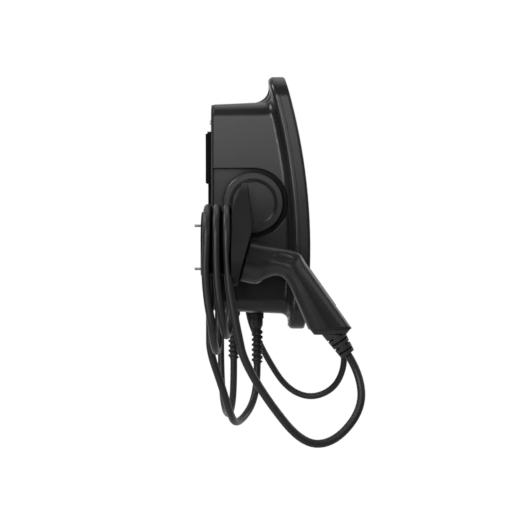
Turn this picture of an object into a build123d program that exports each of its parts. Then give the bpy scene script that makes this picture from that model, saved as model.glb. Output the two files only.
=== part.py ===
from build123d import *
import math
import os

os.makedirs("parts", exist_ok=True)

# Frame: millimetres, +Z up, wall plane at Y = 0, front of the wallbox towards -Y.
# The origin is the middle of the wall bracket's four slots.

# General clearances
fit = 0.3
pilot_fit = 0.05

# Wall bracket
bracket_depth = 10.0
bracket_sheet = 2.5
bracket_side_in = 5.0
bracket_half_h = 45.0
leg_half_w = 85.0
leg_bottom = -210.0
slot_x = 100.0
slot_z = 28.0
slot_r = 3.5
slot_len = 14.0

# Housing
back_plate_t = 3.0
seal_t = 1.0
body_rear_w = 340.0
body_rear_h = 380.0
body_mid_z = -90.0
body_corner_r = 28.0
body_draft = 2.5
wall = 3.5
flare_r = 14.0
flare_top_r = 29.0
rim_t = 13.0
rim_round = 9.0
rear_bevel = 1.5

# Curved front panel
panel_side_over = 30.0
panel_top_over = 48.5
panel_low_over = 32.0
panel_corner_r = 45.0
panel_edge = 18.0
panel_skin = 3.0
panel_rim = 6.0
panel_front_round = 5.0
front_r = 1060.0
front_depth = 190.5
apex_z = -165.0
panel_seal_w = 3.0
panel_seal_t = 2.0

# Round blank covers on the sides
pocket_front_gap = 5.6
pocket_rear_gap = 11.5
pocket_rise = 9.0
pocket_depth = 4.5
blank_gap = 8.0
blank_h = 9.0
blank_ring_w = 11.5
blank_dish_in = 1.3
blank_dish_slope = 4.2
blank_dish_step = 3.0

# Cable glands under the housing
gland_x = 35.0
gland_y_left = -92.0
gland_y_right = -44.0
gland_boss_drop = 12.5
gland_nut_rise = 5.0
gland_boss_r = 13.0
gland_thread_r = 10.0
gland_hex = 25.0
gland_hex_h = 9.0
gland_washer_t = 1.5
gland_dome_r = 11.0
gland_dome_h = 19.0
gland_tail_h = 69.0
gland_tail_r = 7.4
gland_rib_r = 11.0
gland_rib_pitch = 9.8
gland_rib_t = 3.6

# Cable holders beside the housing
holder_gap = 2.0
hub_half_w = 47.0
hub_arch_z = -145.0
hub_bottom_z = -207.0
hub_corner_r = 14.0
hub_wall = 3.0
hub_base = 4.0
face_rear_y = -53.0
face_half_w = 68.0
face_top_z = -47.0
face_step_z = -95.0
face_ridge_z = -126.0
face_low_z = -238.0
face_top_rear_y = -70.0
face_top_front_y = -79.0
face_ridge_y = -88.0
face_low_front_y = -58.0
face_top_r = 30.0
face_foot_z = -225.0
face_foot_r = 42.0
screw_z = (-122.0, -197.0)
wall_screw_r = 2.2
wall_screw_hole_r = 3.5
wall_screw_out = 13.0

# Charging cable
cable_d = 14.0
coil_rear_y = -2.0
coil_bottom_z = -330.0
coil_lean_z = -215.0
coil_lean = 14.0
tail_end_z = -312.0

# Connector
collar_y = -72.5
collar_z = -179.5
nose_tilt = 15.5
collar_r = 37.0
collar_t = 5.0
nose_r = 28.0
nose_len = 34.0
nose_flat = 21.0
grip_tilt = 57.0
end_tilt = 89.0
end_cap_t = 9.5
boot_len = 44.0
boot_r = 18.5
boot_end_r = 13.5
boot_slots = 4
boot_slot_w = 3.2
boot_slot_depth = 3.0
boot_bridge = 13.0

# Derived sizes
cable_r = cable_d / 2
bracket_half_w = body_rear_w / 2 - bracket_side_in
body_top = body_mid_z + body_rear_h / 2
body_low = body_mid_z - body_rear_h / 2
panel_w = body_rear_w + 2 * panel_side_over
panel_h = body_rear_h + panel_top_over + panel_low_over
panel_mid_z = body_mid_z + (panel_top_over - panel_low_over) / 2
panel_top = panel_mid_z + panel_h / 2
panel_low = panel_mid_z - panel_h / 2
holder_x = panel_w / 2 + holder_gap + face_half_w
pocket_z = body_mid_z + pocket_rise
pocket_floor_x = body_rear_w / 2 - pocket_depth
blank_face_x = pocket_floor_x + blank_h
gland_seat_z = body_low - gland_boss_drop
gland_nut_z = body_low + gland_nut_rise
plate_rear_y = -bracket_depth
plate_front_y = plate_rear_y - back_plate_t
housing_rear_y = plate_front_y - seal_t
axis_y = front_r - front_depth
rim_front_r = front_r - panel_edge
rim_rear_r = rim_front_r - rim_t
panel_inner_r = front_r - panel_skin


def box_between(x0, x1, y0, y1, z0, z1):
    """Box given by its limits along the three axes."""
    size = Box(abs(x1 - x0), abs(y1 - y0), abs(z1 - z0))
    return Pos((x0 + x1) / 2, (y0 + y1) / 2, (z0 + z1) / 2) * size


def rod(start, direction, radius, length):
    """Cylinder that begins at a point and runs along a direction."""
    plane = Plane(origin=start, z_dir=direction)
    return extrude(plane * Circle(radius), amount=length)


def cone(start, direction, r0, r1, length):
    """Tapered round bar that begins at a point and runs along a direction."""
    plane = Plane(origin=start, z_dir=direction)
    return plane * Pos(0, 0, length / 2) * Cone(r0, r1, length)


def front_prism(sketch, y_rear, y_front):
    """Sketch drawn in X and Z, carried from a rear plane to a front plane."""
    return extrude(Plane.XZ.offset(-y_rear) * sketch, amount=y_rear - y_front)


def side_prism(sketch, x0, x1):
    """Sketch drawn in Y and Z, carried along X."""
    return extrude(Plane.YZ.offset(x0) * sketch, amount=x1 - x0)


def drum(radius):
    """Everything behind a front curve of the given radius."""
    return Pos(0, axis_y, apex_z) * Rot(0, 90, 0) * Cylinder(radius, 2 * panel_w)


def drum_y(radius, z):
    """Y of the front curve of the given radius at a height."""
    return axis_y - math.sqrt(radius**2 - (z - apex_z) ** 2)


pocket_front_y = drum_y(rim_rear_r, pocket_z) + pocket_front_gap
pocket_r = (plate_front_y - pocket_rear_gap - pocket_front_y) / 2
pocket_y = pocket_front_y + pocket_r
blank_r = pocket_r - blank_gap
blank_bore_r = blank_r - blank_ring_w
blank_dish_r = blank_bore_r - blank_dish_in


def both_sides(left):
    """The left piece and its mirror image on the right."""
    return {"left": left, "right": mirror(left, about=Plane.YZ)}


def save(shape, name):
    """One STEP file per node."""
    export_step(shape, "parts/" + name + ".step")


def save_pair(left, name):
    for side, shape in both_sides(left).items():
        save(shape, name + "_" + side)


def panel_outline(inset):
    return Pos(0, panel_mid_z) * RectangleRounded(
        panel_w - 2 * inset, panel_h - 2 * inset, panel_corner_r - inset
    )


def body_outline(inset):
    return Pos(0, body_mid_z) * RectangleRounded(
        body_rear_w - 2 * inset, body_rear_h - 2 * inset, body_corner_r - inset
    )


def drafted_body(inset, y_rear):
    """Body that widens towards the front by the draft."""
    plane = Plane.XZ.offset(-y_rear)
    return extrude(plane * body_outline(inset), amount=front_depth, taper=-body_draft)


def pocket_outline(grow):
    """Round-ended recess that runs out at the back edge of the housing."""
    run = Pos(pocket_y / 2, pocket_z) * Rectangle(-pocket_y, 2 * (pocket_r + grow))
    return run + Pos(pocket_y, pocket_z) * Circle(pocket_r + grow)


def pair_points(x, zs):
    return [(sx * x, z) for z in zs for sx in (-1, 1)]


# Places of the screws that hold the housing and the front panel
housing_screw_side_in = 13.0
housing_screw_end_in = 34.0
panel_screw_side_in = 48.0
panel_screw_top_in = 22.0
panel_screw_low_in = 10.0
screw_seat_back = 8.0
housing_screw_at = pair_points(
    body_rear_w / 2 - housing_screw_side_in,
    (body_top - housing_screw_end_in, body_low + housing_screw_end_in),
)
panel_screw_at = pair_points(
    panel_w / 2 - panel_screw_side_in, (panel_top - panel_screw_top_in, panel_low + panel_screw_low_in)
)

# Inner plate and the posts that carry it
inner_side_gap = 23.0
inner_top_gap = 18.0
inner_low_gap = 24.0
inner_corner_r = 8.0
post_side_in = 12.0
post_end_in = 9.0
post_r = 5.0
post_h = 12.0
inner_screw_r = 1.5
inner_screw_len = 8.0
inner_head_h = 2.2
inner_half_w = body_rear_w / 2 - inner_side_gap
inner_top = body_top - inner_top_gap
inner_low = body_low + inner_low_gap
post_at = pair_points(inner_half_w - post_side_in, (inner_top - post_end_in, inner_low + post_end_in))
post_top_y = plate_front_y - post_h


def make_bracket():
    """Pressed tray with a wide top and a narrower leg, slotted for four wall screws."""
    def tee(inset):
        top = Rectangle(2 * (bracket_half_w - inset), 2 * (bracket_half_h - inset))
        leg_top = 0.0
        leg_low = leg_bottom + inset
        leg = Pos(0, (leg_top + leg_low) / 2) * Rectangle(
            2 * (leg_half_w - inset), leg_top - leg_low
        )
        return top + leg

    tray = front_prism(tee(0), 0, -bracket_depth)
    tray -= front_prism(tee(bracket_sheet), -bracket_sheet, -bracket_depth)
    for x, z in pair_points(slot_x, (slot_z, -slot_z)):
        slot = Pos(x, z) * SlotOverall(slot_len, 2 * slot_r)
        tray -= front_prism(slot, 1, -bracket_sheet - 1)
    for x in (-hanger_x, hanger_x):
        hole = rod((x, hanger_y, leg_bottom - 1), (0, 0, 1), hanger_screw_r + fit, 6)
        tray -= hole
    return tray


hanger_x = 40.0
hanger_y = -6.0
hanger_screw_r = 2.0
hanger_head_r = 3.5
hanger_head_h = 3.0
hanger_screw_len = 14.0
hanger_block_h = 18.0
hanger_block_w = 16.0
lug_w = 20.0
lug_in = 2.0
lug_h = 4.0
lug_gap = 0.5
lug_x = (bracket_half_w - lug_in - lug_w, bracket_half_w - lug_in)
lug_top = bracket_half_h + lug_h
lug_rear_y = -bracket_sheet - lug_gap


def make_hanger_screws():
    screws = []
    for x in (-hanger_x, hanger_x):
        head = rod((x, hanger_y, leg_bottom - hanger_head_h), (0, 0, 1), hanger_head_r, hanger_head_h)
        shank = rod((x, hanger_y, leg_bottom), (0, 0, 1), hanger_screw_r, hanger_screw_len)
        screws.append(head + shank)
    return Compound(children=screws)


def make_back_plate():
    """Rear cover with hanging lugs, screw blocks and posts for the inner plate."""
    plate = front_prism(body_outline(1.0), plate_rear_y, plate_front_y)
    for sx in (-1, 1):
        plate += box_between(
            sx * lug_x[0], sx * lug_x[1], plate_rear_y, lug_rear_y, bracket_half_h, lug_top
        )
        low = leg_bottom + bracket_sheet
        left = sx * hanger_x - hanger_block_w / 2
        block = box_between(
            left, left + hanger_block_w, plate_rear_y, lug_rear_y, low, low + hanger_block_h
        )
        plate += block
        start = (sx * hanger_x, hanger_y, low - 1)
        plate -= rod(start, (0, 0, 1), hanger_screw_r + pilot_fit, hanger_screw_len + 1)
    for x, z in housing_screw_at:
        plate -= rod((x, 0, z), (0, -1, 0), screw_r + fit, 20)
    for x, z in post_at:
        post = rod((x, plate_front_y, z), (0, -1, 0), post_r, post_h)
        plate += post
        plate -= rod((x, post_top_y, z), (0, 1, 0), inner_screw_r + pilot_fit, inner_screw_len)
    return plate


# Width of the rim's rear face that the flare may take up
drafted_depth = front_depth - panel_edge - rim_t + plate_front_y
narrowest_over = min(panel_side_over, panel_top_over, panel_low_over)
flare_room = narrowest_over - drafted_depth * math.tan(math.radians(body_draft)) - rim_round - fit

flare_arch = 34.0

screw_r = 2.0
screw_head_r = 4.0
screw_head_h = 2.5
housing_screw_len = 30.0
panel_screw_len = 18.0
housing_post_r = 6.0
housing_post_h = 37.0


def make_housing():
    """Deep hood with a concave flare up to the rim that carries the front panel."""
    rim = front_prism(panel_outline(0), -60, -2 * front_depth) & (drum(rim_front_r) - drum(rim_rear_r))
    bevel = extrude(
        Plane.XZ.offset(-plate_front_y) * body_outline(rear_bevel), amount=front_depth, taper=-45
    )
    outer = (drafted_body(0, plate_front_y) & bevel & drum(rim_front_r)) + rim

    def on_rim_rear(edge):
        p = edge @ 0.5
        return abs(math.hypot(p.Y - axis_y, p.Z - apex_z) - rim_rear_r) < 0.5

    def on_outline(edge):
        p = edge @ 0.5
        dx = abs(p.X) - panel_w / 2 + panel_corner_r
        dz = abs(p.Z - panel_mid_z) - panel_h / 2 + panel_corner_r
        reach = math.hypot(dx, dz) if min(dx, dz) > 0 else max(dx, dz)
        return abs(reach - panel_corner_r) < 0.5

    rear_edges = [e for e in outer.edges() if on_rim_rear(e)]
    outer = fillet([e for e in rear_edges if not on_outline(e)], min(flare_r, flare_room))
    rear_edges = [e for e in outer.edges() if on_rim_rear(e)]
    outer = fillet([e for e in rear_edges if on_outline(e)], rim_round)
    outer += top_flare()

    bosses = []
    for x, y in ((-gland_x, gland_y_left), (gland_x, gland_y_right)):
        boss = rod((x, y, gland_seat_z), (0, 0, 1), gland_boss_r, gland_nut_z - gland_seat_z)
        bosses.append(boss)
    posts = []
    for x, z in housing_screw_at:
        wall_x = math.copysign(body_rear_w / 2, x)
        post = rod((x, plate_front_y, z), (0, -1, 0), housing_post_r, housing_post_h)
        web = box_between(
            x, wall_x, plate_front_y, plate_front_y - housing_post_h, z - housing_post_r, z + housing_post_r
        )
        posts.append(post + web)

    cavity = drafted_body(wall, plate_front_y)
    for sx in (-1, 1):
        cavity -= side_prism(pocket_outline(wall), sx * (pocket_floor_x - wall), sx * panel_w)
    for piece in bosses + posts:
        cavity -= piece
    hood = outer - cavity
    for sx in (-1, 1):
        hood -= side_prism(pocket_outline(0), sx * pocket_floor_x, sx * panel_w)
    for boss in bosses:
        hood += boss
    for x, y in ((-gland_x, gland_y_left), (gland_x, gland_y_right)):
        hood -= rod((x, y, gland_seat_z - 1), (0, 0, 1), gland_thread_r + fit, 60)
    for x, z in housing_screw_at:
        hood -= rod((x, plate_rear_y, z), (0, -1, 0), screw_r + pilot_fit, housing_screw_len)
    for x, z in panel_screw_at:
        seat_y = drum_y(rim_front_r, z) + screw_seat_back
        hood -= rod((x, seat_y, z), (0, 1, 0), screw_head_r + 0.5, 60)
        hood -= rod((x, seat_y + 1, z), (0, -1, 0), screw_r + fit, 30)
    hood -= panel_seal_ring()
    return hood


def top_flare():
    """Larger hollow curve from the top of the body up to the rim, arched so that it fades to the corners."""
    slope = math.tan(math.radians(body_draft))
    lift = flare_top_r / math.cos(math.radians(body_draft))
    y = housing_rear_y
    for step in range(30):
        z = body_top + (plate_front_y - y) * slope + lift
        y = drum_y(rim_rear_r - flare_top_r, z)
    half = body_rear_w / 2 - body_corner_r
    low = body_top + (plate_front_y - y) * slope - wall / 2
    front = drum_y(rim_rear_r, z)
    wedge = box_between(-half, half, y, front, low, z)
    hollow = Pos(0, y, z) * Rot(0, 90, 0) * Cylinder(flare_top_r, 4 * half)
    wedge = (wedge & drum(rim_front_r)) - hollow
    rise = z - low + flare_arch
    arch_r = (half**2 + rise**2) / (2 * rise)
    return wedge & (Pos(0, y, low + rise - arch_r) * Rot(90, 0, 0) * Cylinder(arch_r, 4 * flare_top_r))


def panel_seal_ring():
    """Sealing cord in a groove under the panel's rim."""
    mid = panel_rim / 2
    half = panel_seal_w / 2
    ring = front_prism(panel_outline(mid - half), -60, -2 * front_depth)
    ring -= front_prism(panel_outline(mid + half), -60, -2 * front_depth)
    return ring & (drum(rim_front_r) - drum(rim_front_r - panel_seal_t))


lamp_x = 62.0
lamp_z = 40.0
lamp_len = 60.0
lamp_w = 7.0
reader_z = -60.0
reader_r = 24.0


def lamp_outline(side, grow):
    return Pos(side * lamp_x, lamp_z) * SlotOverall(lamp_len + 2 * grow, lamp_w + 2 * grow)


def reader_outline(grow):
    return Pos(0, reader_z) * Circle(reader_r + grow)


def window(outline):
    """Lens that fills a cut-out of the panel and has a collar behind the skin."""
    face = front_prism(outline(-fit), -60, -2 * front_depth) & (drum(front_r) - drum(panel_inner_r))
    collar = front_prism(outline(2.5), -60, -2 * front_depth) & (
        drum(panel_inner_r) - drum(panel_inner_r - 2)
    )
    return face + collar


def make_panel():
    """Curved cover with a deep rim, hollow behind its skin."""
    solid = front_prism(panel_outline(0), -60, -2 * front_depth) & (drum(front_r) - drum(rim_front_r))

    def on_front(edge):
        p = edge @ 0.5
        return abs(math.hypot(p.Y - axis_y, p.Z - apex_z) - front_r) < 0.5

    solid = fillet([e for e in solid.edges() if on_front(e)], panel_front_round)
    hollow = front_prism(panel_outline(panel_rim), -60, -2 * front_depth) & drum(panel_inner_r)
    for x, z in panel_screw_at:
        hollow -= rod((x, -60, z), (0, -1, 0), 6.0, 200)
    panel = solid - hollow
    for x, z in panel_screw_at:
        panel -= rod((x, drum_y(rim_front_r, z) + 5, z), (0, -1, 0), screw_r + pilot_fit, 15)
    for side in (-1, 1):
        panel -= front_prism(lamp_outline(side, 0), -60, -2 * front_depth)
    panel -= front_prism(reader_outline(0), -60, -2 * front_depth)
    return panel


def make_screws(places, seat_ys, length):
    """Cap screws with their heads behind the seats and their shanks towards the front."""
    screws = []
    for (x, z), seat_y in zip(places, seat_ys):
        head = rod((x, seat_y, z), (0, 1, 0), screw_head_r, screw_head_h)
        shank = rod((x, seat_y, z), (0, -1, 0), screw_r, length)
        screws.append(head + shank)
    return Compound(children=screws)


def make_blank_ring():
    """Round cover ring that stands on the floor of the side recess."""
    height = blank_face_x - pocket_floor_x
    ring = Cylinder(blank_r, height) - Cylinder(blank_bore_r, height)
    rims = ring.edges().filter_by(GeomType.CIRCLE).group_by(Axis.Z)[-1]
    ring = chamfer(rims.sort_by(SortBy.RADIUS)[-1], 2.0)
    return Pos(-pocket_floor_x - height / 2, pocket_y, pocket_z) * Rot(0, -90, 0) * ring


def make_blank_plate():
    """Dished plate inside the ring."""
    height = blank_face_x - pocket_floor_x - 1.0
    plate = Cylinder(blank_bore_r - fit, height)
    dish = Pos(0, 0, height / 2 - blank_dish_step / 2) * Cone(
        blank_dish_r - blank_dish_slope, blank_dish_r, blank_dish_step
    )
    plate -= dish
    return Pos(-pocket_floor_x - height / 2, pocket_y, pocket_z) * Rot(0, -90, 0) * plate


def make_gland_washer(x, y):
    ring = rod((x, y, gland_seat_z), (0, 0, -1), gland_boss_r - 0.5, gland_washer_t)
    return ring - rod((x, y, gland_seat_z + 1), (0, 0, -1), gland_thread_r + fit, 10)


def make_gland_body(x, y):
    """Hexagon collar with the threaded neck that goes up through the housing."""
    top = gland_seat_z - gland_washer_t
    hexagon = RegularPolygon(gland_hex / 2, 6, major_radius=False)
    collar = extrude(Plane(origin=(x, y, top), z_dir=(0, 0, -1)) * hexagon, amount=gland_hex_h)
    neck = rod((x, y, top), (0, 0, 1), gland_thread_r, gland_nut_z + 12 - top)
    return collar + neck


def make_gland_cap(x, y):
    """Dome nut with a ribbed tail that keeps the cable from kinking."""
    top = gland_seat_z - gland_washer_t - gland_hex_h
    cap = rod((x, y, top), (0, 0, -1), gland_dome_r, gland_dome_h)
    tail_top = top - gland_dome_h
    cap += rod((x, y, tail_top), (0, 0, -1), gland_tail_r, gland_tail_h)
    ribs = int((gland_tail_h - 1) / gland_rib_pitch)
    for i in range(ribs):
        z = tail_top - gland_rib_pitch * (i + 0.75)
        cap += rod((x, y, z), (0, 0, -1), gland_rib_r, gland_rib_t)
    return cap


def make_gland_locknut(x, y):
    hexagon = RegularPolygon(13.5, 6, major_radius=False)
    nut = extrude(Plane(origin=(x, y, gland_nut_z), z_dir=(0, 0, 1)) * hexagon, amount=6)
    return nut - rod((x, y, gland_nut_z - 1), (0, 0, 1), gland_thread_r + pilot_fit, 10)


gland_end_z = gland_seat_z - gland_washer_t - gland_hex_h - gland_dome_h - gland_tail_h

# Directions inside a connector: out of the holder, and along the grip
nose_dir = (0, -math.cos(math.radians(nose_tilt)), -math.sin(math.radians(nose_tilt)))
grip_dir = (0, -math.cos(math.radians(grip_tilt)), -math.sin(math.radians(grip_tilt)))
collar_at = (-holder_x, collar_y, collar_z)


def along(start, direction, distance):
    return tuple(s + d * distance for s, d in zip(start, direction))


def hub_outline(inset):
    """Arch-topped outline of the holder's hub, drawn in X and Z."""
    half = hub_half_w - inset
    low = hub_bottom_z + inset
    leg = Pos(0, (hub_arch_z + low) / 2) * Rectangle(2 * half, hub_arch_z - low)
    outline = leg + Pos(0, hub_arch_z) * Circle(half)
    corners = [v for v in outline.vertices() if v.Y < low + 1]
    return Pos(-holder_x, 0) * fillet(corners, hub_corner_r - inset)


def make_holder_hub():
    """Cup screwed to the wall that the cable hangs on."""
    hub = front_prism(hub_outline(0), 0, face_rear_y)
    hub -= front_prism(hub_outline(hub_wall), -hub_base, face_rear_y - 1)
    for z in screw_z:
        hub -= rod((-holder_x, 1, z), (0, -1, 0), wall_screw_hole_r, 10)
    return hub


def make_holder_screws():
    screws = []
    for z in screw_z:
        head = rod((-holder_x, -hub_base, z), (0, -1, 0), wall_screw_hole_r + 1.5, 3)
        shank = rod((-holder_x, -hub_base, z), (0, 1, 0), wall_screw_r, hub_base + wall_screw_out)
        screws.append(head + shank)
    return Compound(children=screws)


def make_holder_face():
    """Thick front flange with a leaning face and a tube that takes the connector's nose."""
    profile = Polyline(
        (face_rear_y, face_low_z),
        (face_rear_y, face_step_z),
        (face_top_rear_y, face_top_z),
        (face_top_front_y, face_top_z),
        (face_ridge_y, face_ridge_z),
        (face_low_front_y, face_low_z),
        close=True,
    )
    slab = side_prism(make_face(profile), -holder_x - face_half_w, -holder_x + face_half_w)
    foot_x = face_half_w - face_foot_r
    foot_z = face_foot_z + face_foot_r
    rounds = [Pos(-holder_x, face_top_z - face_top_r) * Circle(face_top_r)]
    for side in (-1, 1):
        rounds.append(Pos(-holder_x + side * foot_x, foot_z) * Circle(face_foot_r))
    front = make_hull([edge for disc in rounds for edge in disc.edges()])
    face = slab & front_prism(front, 0, -150)
    tube = rod(along(collar_at, nose_dir, -nose_len - 2), nose_dir, nose_r + fit + 2.5, nose_len)
    tube &= front_prism(hub_outline(hub_wall + fit), -hub_base - 4, -150)
    bore = rod(along(collar_at, nose_dir, -nose_len - 3), nose_dir, nose_r + fit, 120)
    front_cut = rod(collar_at, nose_dir, collar_r + 3, 80)
    return face + tube - bore - front_cut


def facing(degrees):
    """Direction out of the holder, turned down by an angle."""
    angle = math.radians(degrees)
    return (0, -math.cos(angle), -math.sin(angle))


def grip_section(y, z, tilt, height, top, ridge, ridge_up, low, corner):
    """Six-sided section across the grip with rounded corners."""
    half = height / 2
    right = [(top, half), (ridge, ridge_up), (low, -half)]
    left = [(-x, up) for x, up in reversed(right)]
    outline = Polyline(*right, *left, close=True)
    section = make_face(outline)
    section = fillet(section.vertices(), corner)
    return Plane(origin=(-holder_x, y, z), x_dir=(1, 0, 0), z_dir=facing(tilt)) * section


# Sections of the grip: place, tilt, height, half widths at top, ridge and bottom, corner radius
neck_stations = (
    (-74.5, -183.2, 15.5, 72.0, 20.5, 41.0, 0.0, 20.5, 30.0),
    (-99.7, -188.5, 10.0, 70.0, 17.5, 35.0, 0.0, 17.5, 22.0),
    (-118.0, -185.7, 13.9, 57.7, 13.5, 28.0, 2.0, 14.0, 14.0),
    (-138.0, -185.5, 24.0, 50.5, 12.5, 25.5, 4.0, 14.0, 9.0),
    (-155.8, -192.2, 32.0, 50.8, 12.5, 25.0, 5.0, 14.0, 8.5),
    (-167.0, -208.9, 35.0, 49.9, 12.5, 25.0, 5.0, 14.5, 8.5),
)
grip_end_section = (76.0, 14.5, 27.5, 7.0, 18.0, 9.0)
grip_end = (-holder_x, -222.5, -300.7)
end_dir = facing(end_tilt)
cap_in = 2.5
cap_taper = 7.0

# Hollow for the thumb on each side of the neck, in Y and Z
thumb_hollow = ((-125.0, -171.9), (-142.3, -173.7), (-163.2, -184.1), (-142.3, -185.8), (-130.1, -180.6))
thumb_floor = 19.5


def end_plane(offset):
    """Slanting plane that ends the grip."""
    return Plane(origin=along(grip_end, end_dir, offset), x_dir=(1, 0, 0), z_dir=end_dir)


def make_grip_blank():
    """Bent handle from the collar to its slanting end."""
    sections = [grip_section(*station) for station in neck_stations]
    last = grip_section(grip_end[1], grip_end[2], end_tilt, *grip_end_section)
    grip = loft(sections) + loft([sections[-1], last], ruled=True)
    thumb = make_face(Polyline(*thumb_hollow, close=True))
    for side in (-1, 1):
        grip -= side_prism(thumb, -holder_x + side * thumb_floor, -holder_x + side * 2 * thumb_floor)
    return grip


def make_end_cap():
    """Tapered cap that closes the handle."""
    height, top, ridge, ridge_up, low, corner = grip_end_section
    outlines = []
    for depth, inset in ((0.0, cap_in), (end_cap_t, cap_in + cap_taper)):
        y, z = along(grip_end, end_dir, depth)[1:]
        widths = (top - inset / 2, ridge - inset, ridge_up, low - inset / 2)
        outlines.append(grip_section(y, z, end_tilt, height - 2 * inset, *widths, corner - 3))
    return loft(outlines, ruled=True)


def make_connector():
    """Grip with its collar, nose, contacts and end cap."""
    grip = make_grip_blank()
    collar = rod(collar_at, nose_dir, collar_r, collar_t)
    collar = chamfer(collar.edges().filter_by(GeomType.CIRCLE), 1.0)
    body = grip + collar

    nose = rod(collar_at, tuple(-d for d in nose_dir), nose_r, nose_len)
    plane = Plane(origin=collar_at, x_dir=(1, 0, 0), z_dir=tuple(-d for d in nose_dir))
    sign = 1 if plane.y_dir.Z > 0 else -1
    nose -= plane * Pos(0, sign * (nose_flat + 20), nose_len / 2) * Box(80, 40, nose_len + 2)
    pins = []
    for px, py, pr in contact_places(sign):
        hole = plane * Pos(px, py, nose_len / 2 + 6) * Cylinder(pr + 1, nose_len - 12)
        nose -= hole
        pins.append(plane * Pos(px, py, nose_len / 2 + 3) * Cylinder(pr, nose_len - 18))
    return body, nose, Compound(children=pins), make_end_cap()


def contact_places(sign):
    """Two small contacts above five large ones."""
    small = [(-7.5, sign * 13.0, 1.6), (7.5, sign * 13.0, 1.6)]
    middle = [(-15.5, sign * 1.0, 3.0), (0.0, sign * 1.0, 3.0), (15.5, sign * 1.0, 3.0)]
    low = [(-8.0, sign * -13.0, 3.0), (8.0, sign * -13.0, 3.0)]
    return small + middle + low


boot_start = (-holder_x, -229.0, -308.0)


def make_boot():
    """Tapered sleeve with staggered slots where the cable leaves the grip."""
    taper = (boot_r - boot_end_r) / boot_len
    run_in = 18.0
    start = along(boot_start, grip_dir, -run_in)
    boot = cone(start, grip_dir, boot_r + taper * run_in, boot_end_r, boot_len + run_in)
    pitch = (boot_len - 2 * boot_slot_w) / boot_slots
    for i in range(boot_slots):
        at = along(boot_start, grip_dir, 2 * boot_slot_w + i * pitch)
        r = boot_r - taper * (2 * boot_slot_w + i * pitch)
        groove = rod(at, grip_dir, 2 * boot_r, boot_slot_w)
        groove -= rod(at, grip_dir, r - boot_slot_depth, boot_slot_w)
        frame = Plane(origin=at, x_dir=(1, 0, 0), z_dir=grip_dir)
        width, depth = (boot_bridge, 6 * boot_r) if i % 2 else (6 * boot_r, boot_bridge)
        groove -= frame * Box(width, depth, 4 * boot_slot_w)
        boot -= groove
    return split(boot, bisect_by=end_plane(end_cap_t), keep=Keep.TOP)


boot_end = along(boot_start, grip_dir, boot_len)


def cable_run(points, label):
    """Plain tube of straight runs joined by tangent arcs."""
    vectors = [Vector(*p) for p in points]
    radii = []
    for before, here, after in zip(vectors, vectors[1:], vectors[2:]):
        turn = math.radians((here - before).get_angle(after - here))
        shorter = min((here - before).length, (after - here).length)
        radii.append(round(0.45 * shorter / math.tan(turn / 2), 1))
    path = FilletPolyline(*points, radius=radii)
    tube = sweep(Plane(origin=path @ 0, z_dir=path % 0) * Circle(cable_r), path=path)
    share = tube.volume / (math.pi * cable_r**2 * path.length)
    print(label, "length", round(path.length), "radii", radii, "volume share", round(share, 3))
    return tube


coil_run = hub_half_w + cable_r + 0.5
coil_front_y = face_rear_y + 1.5
coil_bottom_arc_z = coil_bottom_z + coil_run + cable_r
tail_in = (-holder_x + coil_run, -10.0, tail_end_z)
tail_out_top = (-holder_x - coil_run, coil_front_y + cable_r, coil_lean_z)
tail_out_dir = tuple(Vector(0, -0.215, -1).normalized())
tail_out = along(tail_out_top, tail_out_dir, (coil_lean_z - tail_end_z) / -tail_out_dir[2])


def make_coil():
    """The turns hung on the hub, with the two ends that lead on from them."""
    def racetrack(radius):
        leg = Pos(-holder_x, (hub_arch_z + coil_bottom_arc_z) / 2) * Rectangle(
            2 * radius, hub_arch_z - coil_bottom_arc_z
        )
        ends = Pos(-holder_x, hub_arch_z) * Circle(radius)
        ends += Pos(-holder_x, coil_bottom_arc_z) * Circle(radius)
        return leg + ends

    outer = coil_run + cable_r
    inner = coil_run - cable_r
    ring = front_prism(racetrack(outer) - racetrack(inner), 0, -120)
    low = coil_bottom_z - 1
    top = hub_arch_z + outer + 1
    lean = Polyline(
        (coil_rear_y, top), (coil_front_y, top), (coil_front_y, coil_lean_z),
        (coil_front_y - coil_lean, low), (coil_rear_y - coil_lean, low), (coil_rear_y, coil_lean_z),
        close=True,
    )
    coil = ring & side_prism(make_face(lean), -holder_x - 90, -holder_x + 90)
    coil += rod((tail_in[0], tail_in[1], hub_arch_z - 60), (0, 0, -1), cable_r, hub_arch_z - 60 - tail_end_z)
    length = (coil_lean_z - tail_end_z) / -tail_out_dir[2]
    coil += rod(tail_out_top, tail_out_dir, cable_r, length)
    return coil


lead_left_points = [
    tail_out,
    along(tail_out, tail_out_dir, 38),
    (tail_out[0] - 1, -112, -416),
    (tail_out[0], -174, -494),
    (tail_out[0] + 10, -229, -493),
    (tail_out[0] + 30, -278, -438),
    along(boot_end, grip_dir, 40),
    boot_end,
]
tail_out_right = (-tail_out[0], tail_out[1], tail_out[2])
boot_end_right = (-boot_end[0], boot_end[1], boot_end[2])
lead_right_points = [
    tail_out_right,
    along(tail_out_right, tail_out_dir, 42),
    (tail_out_right[0] + 1, -108, -424),
    (tail_out_right[0], -152, -492),
    (tail_out_right[0] - 8, -206, -514),
    (tail_out_right[0] - 24, -258, -490),
    (tail_out_right[0] - 41, -281, -437),
    along(boot_end_right, grip_dir, 40),
    boot_end_right,
]
feed_left_points = [
    (-gland_x, gland_y_left, gland_end_z),
    (-gland_x, gland_y_left, gland_end_z - 37),
    (-53, -84, -467),
    (-89.5, -67, -489),
    (-137, -52, -491.5),
    (-182, -44, -462),
    (-208, -30, -408),
    along(tail_in, (0, 0, -1), 36),
    tail_in,
]
far_in = (-tail_in[0], tail_in[1], tail_in[2])
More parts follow.
